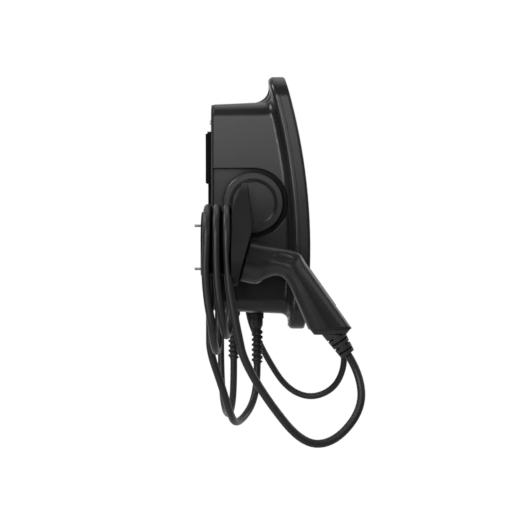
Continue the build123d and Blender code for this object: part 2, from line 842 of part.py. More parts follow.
feed_right_points = [
    (gland_x, gland_y_right, gland_end_z),
    (gland_x, gland_y_right, gland_end_z - 43),
    (52, -41, -482),
    (92, -33, -514),
    (145, -22, -515),
    (190, -14, -484),
    (211, -10.5, -425),
    along(far_in, (0, 0, -1), 50),
    far_in,
]

# Inner parts stand on a steel plate behind the front panel
inner_plate_t = 2.0
inner_front_y = post_top_y - inner_plate_t


def make_inner_plate():
    half_h = (inner_top - inner_low) / 2
    plate = front_prism(
        Pos(0, inner_low + half_h) * RectangleRounded(2 * inner_half_w, 2 * half_h, inner_corner_r),
        post_top_y,
        inner_front_y,
    )
    for x, z in post_at:
        plate -= rod((x, 0, z), (0, -1, 0), inner_screw_r + fit, 60)
    return plate


def make_inner_screws():
    screws = []
    for x, z in post_at:
        head = rod((x, inner_front_y, z), (0, -1, 0), 2 * inner_screw_r, inner_head_h)
        shank = rod((x, inner_front_y, z), (0, 1, 0), inner_screw_r, inner_screw_len)
        screws.append(head + shank)
    return Compound(children=screws)


# Devices: two rows on rails, and sensors and terminals below them
rail_t = 7.5
rail_h = 35.0
rail_in = 32.0
rail_sheet = 1.0
rail_channel = 26.0
meter_w = 52.0
meter_h = 90.0
meter_depth = 58.0
meter_top_gap = 24.0
supply_w = 70.0
supply_depth = 55.0
device_gap = 9.0
contactor_w = 46.0
contactor_h = 82.0
contactor_depth = 62.0
contactor_gap = 78.0
sensor_size = 44.0
sensor_t = 26.0
sensor_bore_r = 10.0
sensor_gap = 12.0
device_low_gap = 19.0
terminals_w = 80.0
terminals_h = 42.0
terminals_t = 40.0
terminal_pitch = 16.0
funnel_r = 4.5
funnel_depth = 11.0

rail_half_w = inner_half_w - rail_in
rail_front_y = inner_front_y - rail_t
sensor_z = inner_low + device_low_gap + sensor_size / 2
terminals_z = inner_low + device_low_gap + terminals_h / 2
rail_upper_z = inner_top - meter_top_gap - meter_h / 2
rail_lower_z = (rail_upper_z - meter_h / 2 + sensor_z + sensor_size / 2) / 2
meter_x = supply_w / 2 + device_gap + meter_w / 2
contactor_x = (contactor_gap + contactor_w) / 2
sensor_x = terminals_w / 2 + sensor_gap + sensor_size / 2


def make_rail(z):
    """Top-hat rail for the switchgear."""
    half = rail_channel / 2
    end = rail_half_w
    foot = box_between(-end, end, inner_front_y, inner_front_y - rail_sheet, z - half, z + half)
    lips = box_between(-end, end, rail_front_y + rail_sheet, rail_front_y, z - rail_h / 2, z + rail_h / 2)
    webs = box_between(-end, end, inner_front_y, rail_front_y, z - half, z + half)
    inside = half - rail_sheet
    clear = box_between(-end - 1, end + 1, inner_front_y - rail_sheet, -100, z - inside, z + inside)
    return foot + (lips + webs - clear)


def make_module(x, z, width, height, depth):
    """Rail-mounted device with a stepped front."""
    half = width / 2
    step_y = rail_front_y - depth * 0.7
    body = box_between(x - half, x + half, rail_front_y, step_y, z - height / 2, z + height / 2)
    nose = box_between(x - half, x + half, rail_front_y, rail_front_y - depth, z - height / 4, z + height / 4)
    return body + nose


def make_sensor(x):
    """Ring-shaped residual current sensor on the plate."""
    y = inner_front_y
    half = sensor_size / 2
    block = box_between(x - half, x + half, y, y - sensor_t, sensor_z - half, sensor_z + half)
    return block - rod((x, y + 1, sensor_z), (0, -1, 0), sensor_bore_r, sensor_t + 2)


def make_terminals():
    """Row of supply terminals with one screw funnel per pole."""
    y = inner_front_y
    half_w = terminals_w / 2
    half_h = terminals_h / 2
    block = box_between(-half_w, half_w, y, y - terminals_t, terminals_z - half_h, terminals_z + half_h)
    poles = int(terminals_w / terminal_pitch)
    for i in range(poles):
        x = terminal_pitch * (i - (poles - 1) / 2)
        block -= rod((x, y - terminals_t - 1, terminals_z), (0, 1, 0), funnel_r, funnel_depth + 1)
    return block


# Controller board on its own posts, close behind the front panel
board_side_in = 11.0
board_top_in = 13.0
board_h = 128.0
board_t = 1.6
board_gap = 30.0
board_post_side_in = 8.0
board_post_end_in = 5.0
board_post_r = 4.0
board_pin_r = 1.4
board_pin_fit = 0.2
board_half_w = inner_half_w - board_side_in
board_top = inner_top - board_top_in
board_low = board_top - board_h
board_y = drum_y(panel_inner_r, board_top) + board_gap
board_post_at = pair_points(
    board_half_w - board_post_side_in, (board_top - board_post_end_in, board_low + board_post_end_in)
)
# Each chip: place from the middle of the board, width, height, thickness
board_chips = [(-90, 28, 34, 20, 6), (-30, 28, 24, 24, 3), (60, 22, 44, 30, 12), (-60, -32, 50, 18, 9)]


def make_controller_board():
    board = box_between(-board_half_w, board_half_w, board_y, board_y - board_t, board_low, board_top)
    for x, z in board_post_at:
        board -= rod((x, board_y + 1, z), (0, -1, 0), board_pin_r + board_pin_fit, board_t + 2)
    face_y = board_y - board_t
    for x, up, w, h, t in board_chips:
        z = board_low + board_h / 2 + up
        board += box_between(x - w / 2, x + w / 2, face_y, face_y - t, z - h / 2, z + h / 2)
    return board


def make_board_posts():
    posts = []
    for x, z in board_post_at:
        post = rod((x, inner_front_y, z), (0, -1, 0), board_post_r, inner_front_y - board_y)
        pin = rod((x, board_y, z), (0, -1, 0), board_pin_r, 2 * board_t)
        posts.append(post + pin)
    return Compound(children=posts)


save(make_bracket(), "wall_bracket")
save(make_hanger_screws(), "hanger_screws")
save(make_back_plate(), "back_plate")
hood = make_housing()
seal_slice = box_between(-panel_w, panel_w, plate_front_y, housing_rear_y, -panel_h, panel_h)
save(hood & seal_slice, "back_seal")
save(hood - seal_slice, "housing")
save(make_panel(), "front_panel")
save(panel_seal_ring(), "panel_seal")
save(window(lambda grow: lamp_outline(-1, grow)), "status_lens_left")
save(window(lambda grow: lamp_outline(1, grow)), "status_lens_right")
save(window(reader_outline), "reader_window")
save(make_screws(housing_screw_at, [plate_rear_y] * 4, housing_screw_len), "housing_screws")
panel_seats = [drum_y(rim_front_r, z) + screw_seat_back for x, z in panel_screw_at]
save(make_screws(panel_screw_at, panel_seats, panel_screw_len), "panel_screws")
save_pair(make_blank_ring(), "blank_ring")
save_pair(make_blank_plate(), "blank_plate")

for side, x, y in (("left", -gland_x, gland_y_left), ("right", gland_x, gland_y_right)):
    save(make_gland_washer(x, y), "gland_washer_" + side)
    save(make_gland_body(x, y), "gland_body_" + side)
    save(make_gland_cap(x, y), "gland_cap_" + side)
    save(make_gland_locknut(x, y), "gland_locknut_" + side)

save_pair(make_holder_hub(), "holder_hub")
save_pair(make_holder_face(), "holder_face")
save_pair(make_holder_screws(), "holder_screws")
body, nose, pins, end_cap = make_connector()
save_pair(body, "connector_grip")
save_pair(nose, "connector_nose")
save_pair(pins, "connector_contacts")
save_pair(end_cap, "connector_end_cap")
save_pair(make_boot(), "connector_boot")
save_pair(make_coil(), "cable_coil")
save(cable_run(lead_left_points, "cable_lead_left"), "cable_lead_left")
save(cable_run(lead_right_points, "cable_lead_right"), "cable_lead_right")
save(cable_run(feed_left_points, "cable_feed_left"), "cable_feed_left")
save(cable_run(feed_right_points, "cable_feed_right"), "cable_feed_right")

save(make_inner_plate(), "inner_plate")
save(make_inner_screws(), "inner_screws")
save(make_rail(rail_upper_z), "rail_upper")
save(make_rail(rail_lower_z), "rail_lower")
for side, sx in (("left", -1), ("right", 1)):
    contactor = make_module(sx * contactor_x, rail_lower_z, contactor_w, contactor_h, contactor_depth)
    save(contactor, "contactor_" + side)
    meter = make_module(sx * meter_x, rail_upper_z, meter_w, meter_h, meter_depth)
    save(meter, "energy_meter_" + side)
    save(make_sensor(sx * sensor_x), "current_sensor_" + side)
save(make_module(0, rail_upper_z, supply_w, meter_h, supply_depth), "power_supply")
save(make_terminals(), "supply_terminals")
save(make_board_posts(), "board_posts")
save(make_controller_board(), "controller_board")
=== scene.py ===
import bpy
import math
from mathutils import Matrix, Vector


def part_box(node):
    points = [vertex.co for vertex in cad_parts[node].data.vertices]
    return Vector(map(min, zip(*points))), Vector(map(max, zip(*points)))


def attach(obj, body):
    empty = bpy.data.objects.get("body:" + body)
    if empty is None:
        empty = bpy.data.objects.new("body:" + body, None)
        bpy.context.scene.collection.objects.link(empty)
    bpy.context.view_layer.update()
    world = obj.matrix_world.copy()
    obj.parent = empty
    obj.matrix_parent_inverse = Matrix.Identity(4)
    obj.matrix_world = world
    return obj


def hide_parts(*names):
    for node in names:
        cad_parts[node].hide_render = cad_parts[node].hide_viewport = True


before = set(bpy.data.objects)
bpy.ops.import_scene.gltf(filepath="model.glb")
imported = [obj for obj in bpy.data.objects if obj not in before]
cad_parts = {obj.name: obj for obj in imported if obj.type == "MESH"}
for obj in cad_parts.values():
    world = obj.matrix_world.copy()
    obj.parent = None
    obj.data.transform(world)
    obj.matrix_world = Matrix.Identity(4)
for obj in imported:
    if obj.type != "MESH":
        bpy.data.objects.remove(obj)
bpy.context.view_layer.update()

# Wall bracket: a tray pressed from sheet steel and powder coated black.
# It is screwed to the wall through four slots, and the wallbox hangs on it by two lugs.
# Two zinc-plated screws from below keep the box from being lifted off.


def new_finish(name):
    """A material with its node tree and its shader."""
    finish = bpy.data.materials.new(name)
    finish.use_nodes = True
    return finish, finish.node_tree, finish.node_tree.nodes["Principled BSDF"]


def dress(finish, *names):
    """Puts a finish on pieces of the frame."""
    for name in names:
        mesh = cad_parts[name].data
        mesh.materials.clear()
        mesh.materials.append(finish)


def left_right(name):
    """Names of a mirrored pair."""
    return name + "_left", name + "_right"


def feed(tree, value, socket):
    """Gives an input a value, or a link where the value is another socket."""
    if hasattr(value, "links"):
        tree.links.new(value, socket)
    else:
        socket.default_value = value


def math_node(tree, operation, a, b):
    """A sum, product or other step between two values or sockets."""
    node = tree.nodes.new("ShaderNodeMath")
    node.operation = operation
    feed(tree, a, node.inputs[0])
    feed(tree, b, node.inputs[1])
    return node.outputs[0]


def between(tree, value, low, high):
    """A value from 0 to 1 spread over the range from low to high."""
    node = tree.nodes.new("ShaderNodeMapRange")
    tree.links.new(value, node.inputs["Value"])
    feed(tree, low, node.inputs["To Min"])
    feed(tree, high, node.inputs["To Max"])
    return node.outputs["Result"]


def mixed(tree, mask, first, second):
    """Two colours blended by a mask."""
    node = tree.nodes.new("ShaderNodeMix")
    node.data_type = "RGBA"
    tree.links.new(mask, node.inputs[0])
    for socket, colour in ((node.inputs[6], first), (node.inputs[7], second)):
        feed(tree, colour if hasattr(colour, "links") else (*colour, 1), socket)
    return node.outputs[2]


def noise(tree, place, scale, detail=4.0):
    """Cloudy noise from 0 to 1."""
    node = tree.nodes.new("ShaderNodeTexNoise")
    tree.links.new(place, node.inputs["Vector"])
    feed(tree, scale, node.inputs["Scale"])
    node.inputs["Detail"].default_value = detail
    return node.outputs["Fac"]


def new_group(name, inputs, outputs):
    """A shader group with its entry and its result."""
    group = bpy.data.node_groups.new(name, "ShaderNodeTree")
    for way, sockets in (("INPUT", inputs), ("OUTPUT", outputs)):
        for label, kind in sockets:
            group.interface.new_socket(label, in_out=way, socket_type="NodeSocket" + kind)
    return group, group.nodes.new("NodeGroupInput"), group.nodes.new("NodeGroupOutput")


def make_grain():
    """Surface of a moulded or coated part: fine grain, and soft clouds in its colour and gloss."""
    group, entry, result = new_group(
        "moulded_grain",
        (("Deep", "Color"), ("Pale", "Color"), ("Grain", "Float"),
         ("Gloss low", "Float"), ("Gloss high", "Float")),
        (("Color", "Color"), ("Roughness", "Float"), ("Height", "Float")),
    )
    place = group.nodes.new("ShaderNodeTexCoord").outputs["Object"]
    fine = noise(group, place, entry.outputs["Grain"], 3.0)
    cells = group.nodes.new("ShaderNodeTexVoronoi")
    group.links.new(place, cells.inputs["Vector"])
    group.links.new(math_node(group, "MULTIPLY", entry.outputs["Grain"], 1.4), cells.inputs["Scale"])
    cloud = noise(group, place, 14.0, 5.0)
    speckle = between(group, math_node(group, "MULTIPLY", fine, cloud), 0.0, 1.9)
    colour = mixed(group, speckle, entry.outputs["Deep"], entry.outputs["Pale"])
    group.links.new(colour, result.inputs["Color"])
    gloss = between(group, cloud, entry.outputs["Gloss low"], entry.outputs["Gloss high"])
    group.links.new(gloss, result.inputs["Roughness"])
    height = math_node(group, "ADD", fine, math_node(group, "MULTIPLY", cells.outputs["Distance"], 0.6))
    group.links.new(height, result.inputs["Height"])
    return group


grain = make_grain()


def make_dust():
    """Thin dust that settles on what faces up."""
    group, entry, result = new_group(
        "settled_dust",
        (("Color", "Color"), ("Dust", "Color"), ("Amount", "Float")),
        (("Color", "Color"), ("Mask", "Float")),
    )
    facing = group.nodes.new("ShaderNodeSeparateXYZ")
    group.links.new(group.nodes.new("ShaderNodeNewGeometry").outputs["Normal"], facing.inputs[0])
    up = group.nodes.new("ShaderNodeMapRange")
    group.links.new(facing.outputs["Z"], up.inputs["Value"])
    up.inputs["From Min"].default_value = 0.25
    place = group.nodes.new("ShaderNodeTexCoord").outputs["Object"]
    patch = between(group, noise(group, place, 60.0, 6.0), 0.2, 1.2)
    settled = math_node(group, "MULTIPLY", up.outputs["Result"], patch)
    mask = math_node(group, "MULTIPLY", settled, entry.outputs["Amount"])
    group.links.new(mixed(group, mask, entry.outputs["Color"], entry.outputs["Dust"]), result.inputs["Color"])
    group.links.new(mask, result.inputs["Mask"])
    return group


dust = make_dust()


def make_painted_gap_shade():
    """Painted shade in narrow gaps and seams: colour and sheen are darkened where the surface is closed in.
    """
    sockets = (("Color", "Color"), ("Sheen", "Float"))
    group, entry, result = new_group("painted_gap_shade", sockets, sockets)
    around = group.nodes.new("ShaderNodeAmbientOcclusion")
    around.samples = 8
    around.inputs["Distance"].default_value = 0.012
    lit = group.nodes.new("ShaderNodeMapRange")
    group.links.new(around.outputs["AO"], lit.inputs["Value"])
    lit.inputs["From Min"].default_value = 0.40
    lit.inputs["From Max"].default_value = 0.90
    lit.inputs["To Min"].default_value = 0.10
    share = lit.outputs["Result"]
    group.links.new(mixed(group, share, (0, 0, 0), entry.outputs["Color"]), result.inputs["Color"])
    group.links.new(math_node(group, "MULTIPLY", entry.outputs["Sheen"], share), result.inputs["Sheen"])
    return group


painted_gap_shade = make_painted_gap_shade()


def moulded(name, deep, pale, grain_size, gloss, relief, dust_amount, edge=0.0008, sheen=0.22):
    """Moulded plastic, rubber or coating with grain, clouds, softened edges, a little dust and painted shade
    in narrow gaps.
    """
    finish, tree, shader = new_finish(name)
    skin = tree.nodes.new("ShaderNodeGroup")
    skin.node_tree = grain
    skin.inputs["Deep"].default_value = (*deep, 1)
    skin.inputs["Pale"].default_value = (*pale, 1)
    skin.inputs["Grain"].default_value = 1.0 / grain_size
    skin.inputs["Gloss low"].default_value = gloss[0]
    skin.inputs["Gloss high"].default_value = gloss[1]
    veil = tree.nodes.new("ShaderNodeGroup")
    veil.node_tree = dust
    veil.inputs["Dust"].default_value = (0.16, 0.155, 0.145, 1)
    veil.inputs["Amount"].default_value = dust_amount
    tree.links.new(skin.outputs["Color"], veil.inputs["Color"])
    # Painted shade: colour and sheen are darkened in narrow gaps and seams.
    shade = tree.nodes.new("ShaderNodeGroup")
    shade.node_tree = painted_gap_shade
    shade.inputs["Sheen"].default_value = sheen
    tree.links.new(veil.outputs["Color"], shade.inputs["Color"])
    tree.links.new(shade.outputs["Color"], shader.inputs["Base Color"])
    tree.links.new(shade.outputs["Sheen"], shader.inputs["Specular IOR Level"])
    dulled = math_node(tree, "MULTIPLY", veil.outputs["Mask"], 0.4)
    tree.links.new(math_node(tree, "ADD", skin.outputs["Roughness"], dulled), shader.inputs["Roughness"])
    soft_edge = tree.nodes.new("ShaderNodeBevel")
    soft_edge.samples = 4
    soft_edge.inputs["Radius"].default_value = edge
    bump = tree.nodes.new("ShaderNodeBump")
    tree.links.new(soft_edge.outputs["Normal"], bump.inputs["Normal"])
    bump.inputs["Strength"].default_value = relief
    bump.inputs["Distance"].default_value = 0.0003
    tree.links.new(skin.outputs["Height"], bump.inputs["Height"])
    tree.links.new(bump.outputs["Normal"], shader.inputs["Normal"])
    return finish


coat = moulded(
    "black_powder_coat", deep=(0.002, 0.002, 0.002), pale=(0.004, 0.004, 0.004),
    grain_size=0.0022, gloss=(0.6, 0.72), relief=0.35, dust_amount=0.05, sheen=0.03,
)
dress(coat, "wall_bracket")


def plated(name, colour, stain, roughness):
    """Bare or plated metal with fine brushing and faint stains."""
    finish, tree, shader = new_finish(name)
    place = tree.nodes.new("ShaderNodeTexCoord").outputs["Object"]
    stretch = tree.nodes.new("ShaderNodeMapping")
    stretch.inputs["Scale"].default_value = (1.0, 1.0, 18.0)
    tree.links.new(place, stretch.inputs["Vector"])
    brush = noise(tree, stretch.outputs["Vector"], 260.0, 3.0)
    blotch = noise(tree, place, 120.0, 5.0)
    tree.links.new(mixed(tree, blotch, colour, stain), shader.inputs["Base Color"])
    tree.links.new(between(tree, brush, roughness - 0.1, roughness + 0.15), shader.inputs["Roughness"])
    shader.inputs["Metallic"].default_value = 1.0
    bump = tree.nodes.new("ShaderNodeBump")
    bump.inputs["Strength"].default_value = 0.12
    bump.inputs["Distance"].default_value = 0.0002
    tree.links.new(brush, bump.inputs["Height"])
    tree.links.new(bump.outputs["Normal"], shader.inputs["Normal"])
    return finish


zinc = plated("zinc_plate", colour=(0.62, 0.63, 0.65), stain=(0.45, 0.46, 0.46), roughness=0.34)
dress(zinc, "hanger_screws")

# Back plate and its gasket: the rear cover is moulded in black glass-filled plastic.
# The gasket is a flat foam rubber ring that the housing's four screws press together.
rear_cover = moulded(
    "rear_cover_plastic", deep=(0.010, 0.010, 0.011), pale=(0.024, 0.024, 0.025),
    grain_size=0.0012, gloss=(0.5, 0.62), relief=0.4, dust_amount=0.15,
)
dress(rear_cover, "back_plate")
rubber = moulded(
    "seal_rubber", deep=(0.008, 0.008, 0.008), pale=(0.016, 0.016, 0.016),
    grain_size=0.0008, gloss=(0.7, 0.85), relief=0.3, dust_amount=0.1,
)
dress(rubber, "back_seal")
dress(zinc, "housing_screws")

# Inner plate with its rails: galvanised sheet steel with a visible zinc spangle.
# The switchgear clips on the two rails, and the plate sits on four posts of the back plate.
spangled, tree, shader = new_finish("galvanised_steel")
place = tree.nodes.new("ShaderNodeTexCoord").outputs["Object"]
spangle = tree.nodes.new("ShaderNodeTexVoronoi")
spangle.inputs["Scale"].default_value = 90.0
tree.links.new(place, spangle.inputs["Vector"])
flake = tree.nodes.new("ShaderNodeSeparateColor")
tree.links.new(spangle.outputs["Color"], flake.inputs["Color"])
flake_colour = mixed(tree, flake.outputs[0], (0.48, 0.49, 0.51), (0.66, 0.67, 0.69))
tree.links.new(flake_colour, shader.inputs["Base Color"])
tree.links.new(between(tree, flake.outputs[1], 0.28, 0.5), shader.inputs["Roughness"])
shader.inputs["Metallic"].default_value = 1.0
dress(spangled, "inner_plate", "rail_upper", "rail_lower")
dress(zinc, "inner_screws")

# Switchgear: contactors, meters, power supply, sensors and terminals in pale grey device plastic.
# Each is a moulded case with a stepped front, matt and slightly speckled.
device = moulded(
    "device_plastic", deep=(0.42, 0.43, 0.44), pale=(0.56, 0.57, 0.58),
    grain_size=0.0009, gloss=(0.45, 0.6), relief=0.25, dust_amount=0.1,
)
dress(device, *left_right("contactor"), *left_right("energy_meter"), "power_supply", "supply_terminals")
coil_case = moulded(
    "sensor_plastic", deep=(0.012, 0.02, 0.05), pale=(0.02, 0.034, 0.08),
    grain_size=0.0009, gloss=(0.4, 0.55), relief=0.25, dust_amount=0.1,
)
dress(coil_case, *left_right("current_sensor"))

# Controller board: green glass laminate with black moulded parts soldered on its front.
# It stands on four pale plastic posts in front of the switchgear.
board_t = 0.0017
laminate, tree, shader = new_finish("board_laminate")
place = tree.nodes.new("ShaderNodeTexCoord").outputs["Object"]
depth = tree.nodes.new("ShaderNodeSeparateXYZ")
tree.links.new(place, depth.inputs[0])
board_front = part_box("controller_board")[1].y - board_t
raised = math_node(tree, "LESS_THAN", depth.outputs["Y"], board_front)
tracks = tree.nodes.new("ShaderNodeTexBrick")
tracks.inputs["Scale"].default_value = 60.0
tree.links.new(place, tracks.inputs["Vector"])
tracks.inputs["Color1"].default_value = (0.012, 0.10, 0.045, 1)
tracks.inputs["Color2"].default_value = (0.010, 0.075, 0.034, 1)
tracks.inputs["Mortar"].default_value = (0.03, 0.17, 0.08, 1)
board_colour = mixed(tree, raised, tracks.outputs["Color"], (0.012, 0.012, 0.013))
tree.links.new(board_colour, shader.inputs["Base Color"])
tree.links.new(between(tree, noise(tree, place, 300.0), 0.3, 0.5), shader.inputs["Roughness"])
dress(laminate, "controller_board")
dress(device, "board_posts")

# Housing: one deep hood moulded in dark grey plastic with drafted sides and a fine eroded grain.
# A concave flare carries its sides out to the rim that holds the front panel.
hood = moulded(
    "housing_plastic", deep=(0.006, 0.006, 0.0061), pale=(0.015, 0.015, 0.0153),
    grain_size=0.0011, gloss=(0.20, 0.26), relief=0.10, dust_amount=0.06, edge=0.0025,
)
dress(hood, "housing")


def add_piece(name, points, faces, finish, smooth=True):
    """A piece with flat ends, fixed to the part, whose four-sided faces are smooth if asked."""
    mesh = bpy.data.meshes.new(name)
    mesh.from_pydata(points, [], faces)
    if smooth:
        mesh.polygons.foreach_set("use_smooth", [len(face) == 4 for face in faces])
    mesh.materials.append(finish)
    piece = bpy.data.objects.new(name, mesh)
    bpy.context.scene.collection.objects.link(piece)
    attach(piece, "root")
    return piece


def ramp(value, start, run):
    """Rises from 0 to 1 over a run, and stays there."""
    return min(1.0, max(0.0, (value - start) / run))


rim_axis_y = 0.8695
rim_rear_r = 1.029
rim_apex_z = -0.165


def rim_rear(z):
    """Y of the rim's curved rear face at a height."""
    return rim_axis_y - math.sqrt(rim_rear_r**2 - (z - rim_apex_z) ** 2)


def top_sweep(across=97, steps=12):
    """Hollow curve from the top of the hood up to the rim, fading into the smaller one at the corners."""
    half_w = 0.166
    fade_start = 0.140
    fade_run = 0.026
    middle_r = 0.0296
    corner_loss = 0.0152
    flat_half_w = 0.142
    hood_corner_r = 0.0315
    hood_top_z = 0.1036
    proud = 0.0003
    tuck_y = 0.004
    tuck_z = 0.003
    points, faces = [], []
    for column in range(across):
        x = half_w * (2 * column / (across - 1) - 1)
        near_corner = ramp(abs(x), fade_start, fade_run)
        r = middle_r - corner_loss * near_corner**2 * (3 - 2 * near_corner)
        past_flat = max(0.0, abs(x) - flat_half_w)
        low = hood_top_z - (hood_corner_r - math.sqrt(hood_corner_r**2 - past_flat**2))
        for step in range(steps + 1):
            turn = math.pi / 2 * step / steps
            z = low + r * (1 - math.cos(turn))
            points.append((x, rim_rear(z) + r * (1 - math.sin(turn)) + proud, z))
        points.append((x, rim_rear(low) - tuck_y, low - tuck_z))
    ring = steps + 2
    for column in range(across - 1):
        for step in range(ring):
            a, b = column * ring + step, column * ring + (step + 1) % ring
            faces.append((a, b, b + ring, a + ring))
    faces.append(tuple(reversed(range(ring))))
    faces.append(tuple(range((across - 1) * ring, across * ring)))
    add_piece("top_sweep", points, faces, hood)


top_sweep()

# Front panel: a curved cover with a deep rim, moulded in the same grey with a smoother satin skin.
# A round sealing cord lies in a groove under its rim, and four screws pull it on from behind.
# Small caps close the holes over the screws.
cover = moulded(
    "panel_plastic", deep=(0.006, 0.006, 0.0061), pale=(0.015, 0.015, 0.0153),
    grain_size=0.0009, gloss=(0.20, 0.26), relief=0.12, dust_amount=0.06, edge=0.0015,
)
dress(cover, "front_panel")
dress(rubber, "panel_seal")
dress(zinc, "panel_screws")


def screw_caps(radius=0.0044, thick=0.002, around=24):
    """Covers pressed into the screw holes, flush with the curved rear of the rim."""
    screw_x = 0.152
    upper_z = 0.1265
    lower_z = -0.302
    points, faces = [], []
    for x, z in ((-screw_x, upper_z), (screw_x, upper_z), (-screw_x, lower_z), (screw_x, lower_z)):
        first = len(points)
        for depth in (0.0, thick):
            for step in range(around):
                angle = 2 * math.pi * step / around
                px, pz = x + radius * math.cos(angle), z + radius * math.sin(angle)
                points.append((px, rim_rear(pz) - depth, pz))
        rim = [first + step for step in reversed(range(around))]
        faces.append(tuple(rim))
        faces.append(tuple(step + around for step in reversed(rim)))
        faces.extend((a, a + around, b + around, b) for a, b in zip(rim, rim[1:] + rim[:1]))
    add_piece("screw_caps", points, faces, hood, smooth=False)


screw_caps()

# Lenses in the front panel: two light bars and a round reader window of smoked acrylic.
# They are pressed in from behind, flush with the skin.
smoked, tree, shader = new_finish("smoked_acrylic")
place = tree.nodes.new("ShaderNodeTexCoord").outputs["Object"]
haze = noise(tree, place, 35.0, 3.0)
tree.links.new(mixed(tree, haze, (0.030, 0.032, 0.036), (0.055, 0.058, 0.064)), shader.inputs["Base Color"])
tree.links.new(between(tree, noise(tree, place, 220.0, 5.0), 0.10, 0.2), shader.inputs["Roughness"])
shader.inputs["Coat Weight"].default_value = 0.6
shader.inputs["Coat Roughness"].default_value = 0.08
dress(smoked, *left_right("status_lens"), "reader_window")

# Round blank covers in the side recesses: a ring with a dished plate in it.
# Both are moulded in the housing's plastic and clip in from outside.
blank = moulded(
    "blank_cover_plastic", deep=(0.008, 0.008, 0.0081), pale=(0.018, 0.018, 0.0183),
    grain_size=0.0010, gloss=(0.22, 0.28), relief=0.08, dust_amount=0.25, edge=0.0018,
)
dress(blank, *left_right("blank_ring"), *left_right("blank_plate"))

# Cable glands under the housing: black polyamide bodies with a rubber washer.
# The dome nut runs on into a long spiral tail that keeps the cable from kinking.
polyamide = moulded(
    "gland_polyamide", deep=(0.006, 0.006, 0.006), pale=(0.015, 0.015, 0.015),
    grain_size=0.0010, gloss=(0.42, 0.55), relief=0.2, dust_amount=0.2,
)
dress(polyamide, *left_right("gland_body"), *left_right("gland_locknut"), *left_right("gland_cap"))
dress(rubber, *left_right("gland_washer"))


def spiral_guard(side, around=40, rows=110):
    """Dome nut and the spiral tail under it, as one skin round the cable."""
    low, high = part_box("gland_cap_" + side)
    x, y = (low.x + high.x) / 2, (low.y + high.y) / 2
    length = high.z - low.z
    core_r = 0.0077
    rib = 0.0031
    pitch = 0.0098
    dome_h = 0.020
    plain_end = 0.001
    rib_grow = 0.003
    rib_fade = 0.002
    # distance down from the top, and radius there
    outline = (
        (0, 0.0102), (0.001, 0.011), (0.011, 0.011), (0.015, 0.0103), (0.018, 0.0088), (dome_h, core_r),
        (1, core_r),
    )
    corners = []
    for row in range(rows + 1):
        down = length * row / rows
        for (start, r0), (stop, r1) in zip(outline, outline[1:]):
            if start <= down <= stop:
                base = r0 + (r1 - r0) * (down - start) / (stop - start)
        swell = ramp(down, dome_h, rib_grow) * ramp(length - plain_end - down, 0.0, rib_fade)
        for step in range(around):
            angle = 2 * math.pi * step / around
            wave = 0.5 - 0.5 * math.cos(2 * math.pi * (down - dome_h) / pitch + angle)
            r = base + rib * swell * ramp(wave, 0.3, 0.4)
            corners.append((x + r * math.cos(angle), y + r * math.sin(angle), high.z - down))
    faces = [
        (row * around + step, (row + 1) * around + step,
         (row + 1) * around + (step + 1) % around, row * around + (step + 1) % around)
        for row in range(rows) for step in range(around)
    ]
    faces.append(tuple(range(around)))
    faces.append(tuple(reversed(range(rows * around, (rows + 1) * around))))
    guard = add_piece("kink_guard_" + side, corners, faces, polyamide)
    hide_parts("gland_cap_" + side)


spiral_guard("left")
spiral_guard("right")

# Cable holders: a cup screwed to the wall that carries the cable's turns.
# Its thick leaning flange keeps the turns on and has the socket for the connector's nose.
# The wall screws are dull steel.
holder = moulded(
    "holder_plastic", deep=(0.004, 0.004, 0.0041), pale=(0.010, 0.010, 0.0102),
    grain_size=0.0010, gloss=(0.48, 0.58), relief=0.12, dust_amount=0.15, edge=0.0020, sheen=0.08,
)
dress(holder, *left_right("holder_hub"), *left_right("holder_face"))
dull_steel = plated("dull_steel", colour=(0.20, 0.203, 0.21), stain=(0.12, 0.12, 0.12), roughness=0.42)
dress(dull_steel, *left_right("holder_screws"))

# Connectors: a bent handle moulded in black thermoplastic, hung by its nose in the holder.
# The nose has recessed silver-plated contacts, and a ribbed rubber boot takes the cable.
handle = moulded(
    "grip_plastic", deep=(0.004, 0.004, 0.0041), pale=(0.010, 0.010, 0.0102),
    grain_size=0.0008, gloss=(0.29, 0.35), relief=0.08, dust_amount=0.05, edge=0.0030, sheen=0.30,
)
dress(handle, *left_right("connector_grip"), *left_right("connector_end_cap"), *left_right("connector_nose"))


def handle_ring(place, tilt, height, top, ridge, ridge_up, low, softness):
    """Points round the handle at one place: six corners, each drawn as a short curve."""
    angle = math.radians(tilt)
    half = height / 2
    right = [(top, half), (ridge, ridge_up), (low, -half)]
    corners = [Vector(c) for c in right + [(-x, up) for x, up in reversed(right)]]
    ring = []
    for before, corner, after in zip(corners[-1:] + corners, corners, corners[1:] + corners[:1]):
        start, stop = corner.lerp(before, softness), corner.lerp(after, softness)
        bend = [start.lerp(corner, t / 8).lerp(corner.lerp(stop, t / 8), t / 8) for t in range(9)]
        flat = [stop.lerp(after.lerp(corner, softness), t / 8) for t in range(1, 8)]
        for x, up in bend + flat:
            ring.append(Vector((x, place[0] - up * math.sin(angle), place[1] + up * math.cos(angle))))
    return ring


def thumb_hollow(y, z):
    """Share of the handle's half width that is left at a place, less in the hollow on each side."""
    hollow_y = -0.1433
    hollow_z = -0.1765
    half_len = 0.024
    half_high = 0.0085
    depth_share = 0.16
    run_y, run_z = -0.978, -0.208
    lengthwise = (y - hollow_y) * run_y + (z - hollow_z) * run_z
    across = (y - hollow_y) * run_z - (z - hollow_z) * run_y
    press = max(0.0, 1.0 - (lengthwise / half_len) ** 2 - (across / half_high) ** 2)
    return 1.0 - depth_share * press * press * (3 - 2 * press)


